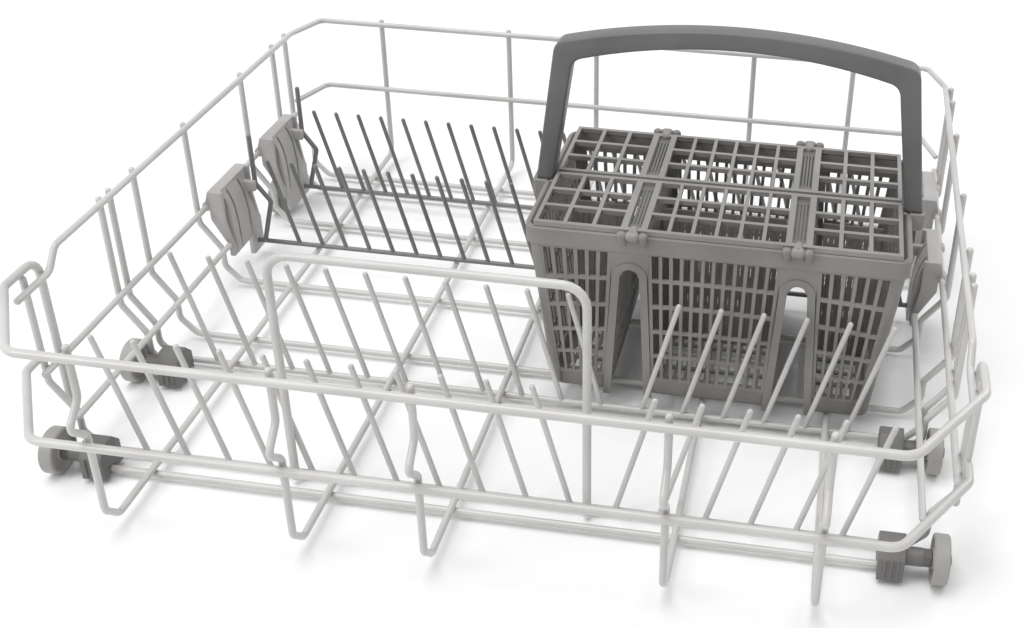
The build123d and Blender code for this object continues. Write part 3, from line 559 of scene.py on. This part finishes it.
for middle, half_width in ((-0.081, 0.0165), (0.0, 0.0375), (0.081, 0.0165)):
    spine = Matrix.Translation(basket + Vector((middle, 0, 0)))
    walls.append(slotted_wall("partition", spine, basket_wall, rows | {
        "Columns": 9 if middle else 22, "Rows": 4, "Upright": 0.9, "Bar": 0.25, "Bottom": 0.002, "Top": 0.1,
        "Foot Width": 2 * half_width, "Head Width": 2 * half_width + 0.004, "Sag": 0.0}))
    flat = Matrix.Translation(basket + Vector((middle, 0, 0.0012))) @ Matrix.Rotation(-math.pi / 2, 4, "X")
    walls.append(slotted_wall("floor_grid", flat, basket_wall, rows | {
        "Columns": 5 if middle else 11, "Rows": 9, "Upright": 0.3, "Bar": 0.2, "Bottom": -0.062, "Top": 0.062,
        "Foot Width": 2 * half_width, "Head Width": 2 * half_width, "Sag": 0.0}))
basket_walls = joined("basket_walls", walls, basket_plastic)
kept(basket_walls, "rack", "basket_plastic", "cutlery_basket")


# Cutlery basket frame
# The solid parts of the same moulding: a rounded rim band, three feet with rolled lower edges,
# corner posts, and two arched tunnels with a raised border on both long walls.
def rounded_ring(half_x, half_y, corner, z, steps=6):
    """Points of a rectangle with rounded corners, anticlockwise at one height."""
    points = []
    for quarter, (sx, sy) in enumerate(((1, 1), (-1, 1), (-1, -1), (1, -1))):
        for step in range(steps + 1):
            angle = math.pi / 2 * (quarter + step / steps)
            points.append((sx * (half_x - corner) + corner * math.cos(angle),
                           sy * (half_y - corner) + corner * math.sin(angle), z))
    return points


frame_parts = []
rim_half, rim_depth, rim_corner = 0.115, 0.07, 0.008
rim_section = ((0.0022, 0.1035), (0.0, 0.1052), (0.0, 0.1158), (0.001, 0.1168), (0.0026, 0.1168),
               (0.0036, 0.1158), (0.0036, 0.1035))
rings = [rounded_ring(rim_half - inset, rim_depth - inset, rim_corner - inset, z) for inset, z in rim_section]
frame_parts.append(skinned("rim_band", rings, basket, basket_plastic))
foot_section = ((0.0066, 0.0, 0.0), (0.0036, 0.0, 0.0004), (0.0012, 0.0, 0.002), (0.0, 0.0, 0.005),
                (0.0, 0.001, foot_top + 0.001), (0.0018, 0.001, foot_top + 0.001), (0.0018, 0.0, 0.005),
                (0.0034, 0.0, 0.003), (0.0066, 0.0, 0.0018))
foot_corner = 0.0056
outer_foot = (base_half + tunnel_x + tunnel_base) / 2
outer_width = (base_half - tunnel_x - tunnel_base) / 2
for middle, half_width in ((-outer_foot, outer_width), (0.0, tunnel_x - tunnel_base), (outer_foot, outer_width)):
    rings = [rounded_ring(half_width - inset + grow * 0.4, base_depth - inset + grow * 0.2, foot_corner, z)
             for inset, grow, z in foot_section]
    frame_parts.append(skinned("foot", rings, basket + Vector((middle, 0, 0)), basket_plastic))
post_bottom, post_top, post_lap = 0.004, 0.1045, 0.0008
posts = bmesh.new()
for sx in (-1, 1):
    for sy in (-1, 1):
        strips = []
        for z in (post_bottom, post_top):
            out_x, out_y = base_half + lean_x * z, base_depth + lean_y * z
            turn_x, turn_y = out_x - corner_post, out_y - corner_post
            strip = [(turn_x - post_lap, out_y), (turn_x, out_y)]
            for step in range(1, 6):
                angle = math.pi / 2 * (1 - step / 6)
                strip.append((turn_x + corner_post * math.cos(angle), turn_y + corner_post * math.sin(angle)))
            strip += [(out_x, turn_y), (out_x, turn_y - post_lap)]
            strips.append([posts.verts.new(basket + Vector((sx * x, sy * y, z))) for x, y in strip])
        for step in range(len(strips[0]) - 1):
            posts.faces.new((strips[0][step], strips[0][step + 1], strips[1][step + 1], strips[1][step]))
crown_half = 0.0112
arch = [(-tunnel_base, 0.0), (-tunnel_top, arch_spring)]
arch += [(-tunnel_top * math.cos(math.pi * step / 12), arch_spring + tunnel_top * math.sin(math.pi * step / 12))
         for step in range(1, 12)]
arch += [(tunnel_top, arch_spring), (tunnel_base, 0.0)]
for middle in (-tunnel_x, tunnel_x):
    strips = []
    for y in (-base_depth - 0.0004, base_depth + 0.0004):
        strips.append([posts.verts.new(basket + Vector((middle + x, y, z))) for x, z in arch[1:-1]])
    for step in range(len(arch) - 3):
        posts.faces.new((strips[0][step], strips[0][step + 1], strips[1][step + 1], strips[1][step]))
    for half in (-1, 1):
        inner, outer = [], []
        for step, (x, z) in enumerate(arch):
            y = half * (base_depth + lean_y * z + 0.0006)
            inner.append(posts.verts.new(basket + Vector((middle + x, y, z))))
            away = math.pi * min(max(step - 1, 0), 12) / 12
            outer.append(posts.verts.new(basket + Vector((middle + x - border * math.cos(away), y,
                                                          z + border * math.sin(away)))))
        for step in range(len(arch) - 1):
            posts.faces.new((inner[step], inner[step + 1], outer[step + 1], outer[step]))
        crown_z = mesh_top - 0.001
        crown = [posts.verts.new(basket + Vector((middle + x, half * (base_depth + lean_y * z), z)))
                 for x, z in ((-crown_half, arch_spring), (crown_half, arch_spring),
                              (crown_half, crown_z), (-crown_half, crown_z))]
        upper_arch = [posts.verts.new(basket + Vector((middle + x, half * (base_depth + lean_y * z), z)))
                      for x, z in arch[1:-1]]
        posts.faces.new([crown[0], *upper_arch, crown[1], crown[2], crown[3]])
bmesh.ops.recalc_face_normals(posts, faces=posts.faces)
mesh = bpy.data.meshes.new("posts_and_tunnels")
posts.to_mesh(mesh)
posts.free()
mesh.materials.append(basket_plastic)
post_piece = bpy.data.objects.new("posts_and_tunnels", mesh)
scene.collection.objects.link(post_piece)
thick = post_piece.modifiers.new("wall", "SOLIDIFY")
thick.thickness = 0.0022
thick.offset = 0.0
frame_parts.append(settled(post_piece))
basket_frame = joined("basket_frame", frame_parts, basket_plastic)
basket_frame.data.shade_smooth()
basket_frame.data.set_sharp_from_angle(angle=math.radians(40))
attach(basket_frame, "rack")

# Lid hinges on the basket
# Pairs of moulded ears stand on the rim, two pairs on each long side. Each pair holds a short
# plastic pin, and a lid's barrel turns on it.
hinge_x, hinge_out, hinge_up = 0.0486, 0.074, 0.1187
barrel_half, ear_width, ear_radius, pin_radius = 0.0045, 0.003, 0.0034, 0.0016
ears, pins = [], {-1: [], 1: []}
for half in (-1, 1):
    for x in (-hinge_x, hinge_x):
        for side in (-1, 1):
            inner = x + side * (barrel_half + 0.0004 + ear_radius * 0.3)
            outer = x + side * (barrel_half + 0.0004 + ear_width - ear_radius * 0.3)
            eye = basket + Vector((0, half * hinge_out, hinge_up))
            ears.append([eye + Vector((inner, 0, 0)), eye + Vector((outer, 0, 0))])
            between = (inner + outer) / 2
            ears.append([eye + Vector((between, 0, 0)),
                         basket + Vector((between, half * (rim_depth + 0.0005), hinge_up - 0.006))])
        reach = barrel_half + 0.0004 + ear_width - pin_radius
        axis_point = basket + Vector((x, half * hinge_out, hinge_up))
        pins[half].append([axis_point - Vector((reach, 0, 0)), axis_point + Vector((reach, 0, 0))])
ear_piece = bent("hinge_ears", ears, 0.0026, 0.001, basket_plastic)
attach(ear_piece, "rack")
for half, name in ((-1, "front"), (1, "rear")):
    kept(bent("lid_pins_" + name, pins[half], pin_radius, 0.001, carrier_plastic), "rack", "hinge_plastic",
         "lid_hinge_pins_" + name)

# Grid lids
# Two flat lids of crossed bars hinge up on the long sides. Broad ribbed strips run across each lid
# in line with its hinge barrels, and the bars part the cutlery.
lid_plastic = surface("lid_plastic", (0.25, 0.24, 0.231), (0.31, 0.299, 0.288), (0.42, 0.56), 450.0, 0.0002)
lid_half, lid_thickness, lid_edge, lid_inner = 0.109, 0.003, 0.069, 0.0015
strip_half, barrel_gauge = 0.0056, 0.003
for half, name in ((-1, "front"), (1, "rear")):
    flat = Matrix.Translation(basket + Vector((0, 0, hinge_up))) @ Matrix.Rotation(-math.pi / 2, 4, "X")
    sunk = Matrix.Translation((0, 0, -0.0009)) @ flat
    # The sunk floors under the strips are painted shade: dark carrier plastic stands in for the shade deep in
    # each slot.
    shade_strip_floors = []
    lid_grid = {"Rows": 3, "Bar": 0.14, "Plastic": lid_plastic, "Sag": 0.0,
                "Bottom": lid_inner if half > 0 else -lid_edge, "Top": lid_edge if half > 0 else -lid_inner}
    bays = [slotted_wall("lid_bay", flat, lid_thickness, lid_grid | {
        "Columns": 6, "Upright": 0.16, "Foot Width": 2 * (hinge_x - strip_half),
        "Head Width": 2 * (hinge_x - strip_half)})]
    for side in (-1, 1):
        outer_bay = (lid_half + hinge_x + strip_half) / 2
        bays.append(slotted_wall("lid_bay", flat, lid_thickness, lid_grid | {
            "Columns": 3, "Upright": 0.14, "Foot Centre": side * outer_bay, "Head Centre": side * outer_bay,
            "Foot Width": lid_half - hinge_x - strip_half, "Head Width": lid_half - hinge_x - strip_half}))
        bays.append(slotted_wall("lid_strip", flat, lid_thickness, lid_grid | {
            "Columns": 1, "Rows": 1, "Upright": 0.16, "Bar": 0.06, "Foot Centre": side * hinge_x,
            "Head Centre": side * hinge_x, "Foot Width": 2 * strip_half, "Head Width": 2 * strip_half}))
        # Sunk ribbed floor in dark carrier plastic, painted shade of the deep slot under the strip.
        shade_strip_floors.append(slotted_wall("strip_floor_painted_shade", sunk, 0.001, lid_grid | {
            "Columns": 4, "Rows": 1, "Upright": 0.7, "Bar": 0.2, "Foot Centre": side * hinge_x,
            "Head Centre": side * hinge_x, "Foot Width": 1.7 * strip_half, "Head Width": 1.7 * strip_half}))
    barrels = []
    for x in (-hinge_x, hinge_x):
        axis_point = basket + Vector((x, half * hinge_out, hinge_up))
        reach = Vector((barrel_half - barrel_gauge, 0, 0))
        barrels.append([axis_point - reach, axis_point + reach])
        barrels.append([axis_point, basket + Vector((x, half * (lid_edge - 0.002), hinge_up))])
    bays.append(bent("lid_barrels", barrels, barrel_gauge, tight_bend, lid_plastic))
    lid = joined(name + "_grid_lid", bays, lid_plastic)
    kept(lid, name + "_lid", "lid_plastic", "lid_" + name)
    # The dark strip floors, painted shade of the slots, join into one piece on the lid.
    strips = joined(name + "_lid_strip_shade_floors", shade_strip_floors, carrier_plastic)
    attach(strips, name + "_lid")

# Carrying handle
# A darker satin moulding that arches over the basket. Its leaning legs plug into sockets at both
# ends of the rim.
handle_plastic = surface("handle_plastic", (0.115, 0.113, 0.112), (0.15, 0.147, 0.146), (0.36, 0.5), 450.0,
                         0.0002)
handle_edge = 0.0026
kept(softened("basket_handle", "arched_handle", handle_edge, 4, handle_plastic),
     "rack", "handle_plastic", "basket_handle")
socket_half, socket_depth, socket_corner = 0.0075, 0.009, 0.002
socket_section = ((0.003, 0.104), (0.0, 0.107), (0.0, 0.1162), (0.0006, 0.1168), (0.0022, 0.1168),
                  (0.0028, 0.112), (0.0034, 0.104))
socket_parts = []
for side in (-1, 1):
    centre = basket + Vector((side * 0.116, 0, 0))
    rings = [rounded_ring(socket_half - inset, socket_depth - inset, socket_corner, z)
             for inset, z in socket_section]
    socket_parts.append(skinned("handle_socket", rings, centre, basket_plastic))
sockets = joined("handle_sockets", socket_parts, basket_plastic)
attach(sockets, "rack")

# Studio
# A plain pale floor under a broad soft light from above, with two small lamps for the gloss of the
# wires and a light surround. The camera stands where the photograph was taken from.
bpy.ops.mesh.primitive_plane_add(size=12)
floor = bpy.context.object
floor.name = "studio_floor"
floor_paint = bpy.data.materials.new("pale_floor")
floor_paint.use_nodes = True
floor_paint.node_tree.nodes["Principled BSDF"].inputs["Base Color"].default_value = (0.93, 0.93, 0.93, 1.0)
floor_paint.node_tree.nodes["Principled BSDF"].inputs["Roughness"].default_value = 0.9
floor.data.materials.append(floor_paint)
world = bpy.data.worlds.new("studio_surround")
world.use_nodes = True
world.node_tree.nodes["Background"].inputs["Color"].default_value = (1.0, 1.0, 1.0, 1.0)
surround = world.node_tree
surround.nodes["Background"].inputs["Strength"].default_value = 0.42
backdrop = put(surround, "ShaderNodeBackground", {"Color": (1.0, 1.0, 1.0, 1.0), "Strength": 1.0})
rays = put(surround, "ShaderNodeLightPath").outputs
mirrored_rays = put(surround, "ShaderNodeMath", {0: rays["Is Glossy Ray"], 1: rays["Is Transmission Ray"]},
                    operation="ADD")
seen = put(surround, "ShaderNodeMath", {0: rays["Is Camera Ray"], 1: mirrored_rays.outputs[0]},
           operation="ADD", use_clamp=True)
either = put(surround, "ShaderNodeMixShader", {0: seen.outputs[0], 1: surround.nodes["Background"].outputs[0],
                                               2: backdrop.outputs[0]})
surround.links.new(either.outputs[0], surround.nodes["World Output"].inputs["Surface"])
scene.world = world
sky_lamp = bpy.data.lights.new("overhead", "SUN")
sky_lamp.energy = 1.7
sky_lamp.angle = math.radians(40)
front_lamp = bpy.data.lights.new("front_left", "AREA")
front_lamp.size = 0.9
front_lamp.energy = 14.0
back_lamp = bpy.data.lights.new("behind_right", "AREA")
back_lamp.size = 0.8
back_lamp.energy = 8.0
for lamp, place in ((sky_lamp, (-0.3, -0.1, 1.9)), (front_lamp, (-1.3, -1.3, 1.5)),
                    (back_lamp, (1.2, 1.3, 1.4))):
    light = bpy.data.objects.new(lamp.name, lamp)
    light.location = place
    light.rotation_euler = (Vector((0, 0, 0.05)) - Vector(place)).to_track_quat("-Z", "Y").to_euler()
    scene.collection.objects.link(light)
azimuth, elevation, roll = math.radians(7.98), math.radians(30.55), math.radians(1.67)
focal_px, centre_px, image_px = 1303.0, (648.0, 267.0), (1024.0, 628.0)
away = Vector((math.sin(azimuth) * math.cos(elevation), -math.cos(azimuth) * math.cos(elevation),
               math.sin(elevation)))
right = Vector((math.cos(azimuth), math.sin(azimuth), 0.0))
above = away.cross(right)
turned_right = math.cos(roll) * right + math.sin(roll) * above
turned_up = -math.sin(roll) * right + math.cos(roll) * above
lens = bpy.data.cameras.new("photo_camera")
lens.sensor_width = 36.0
lens.lens = 36.0 * focal_px / image_px[0]
lens.shift_x = (image_px[0] / 2 - centre_px[0]) / image_px[0]
lens.shift_y = (centre_px[1] - image_px[1] / 2) / image_px[0]
camera = bpy.data.objects.new("photo_camera", lens)
camera.matrix_world = Matrix.Translation((0.1678, -0.7306, 0.5035)) @ Matrix(
    (turned_right, turned_up, away)).transposed().to_4x4()
scene.collection.objects.link(camera)
scene.camera = camera
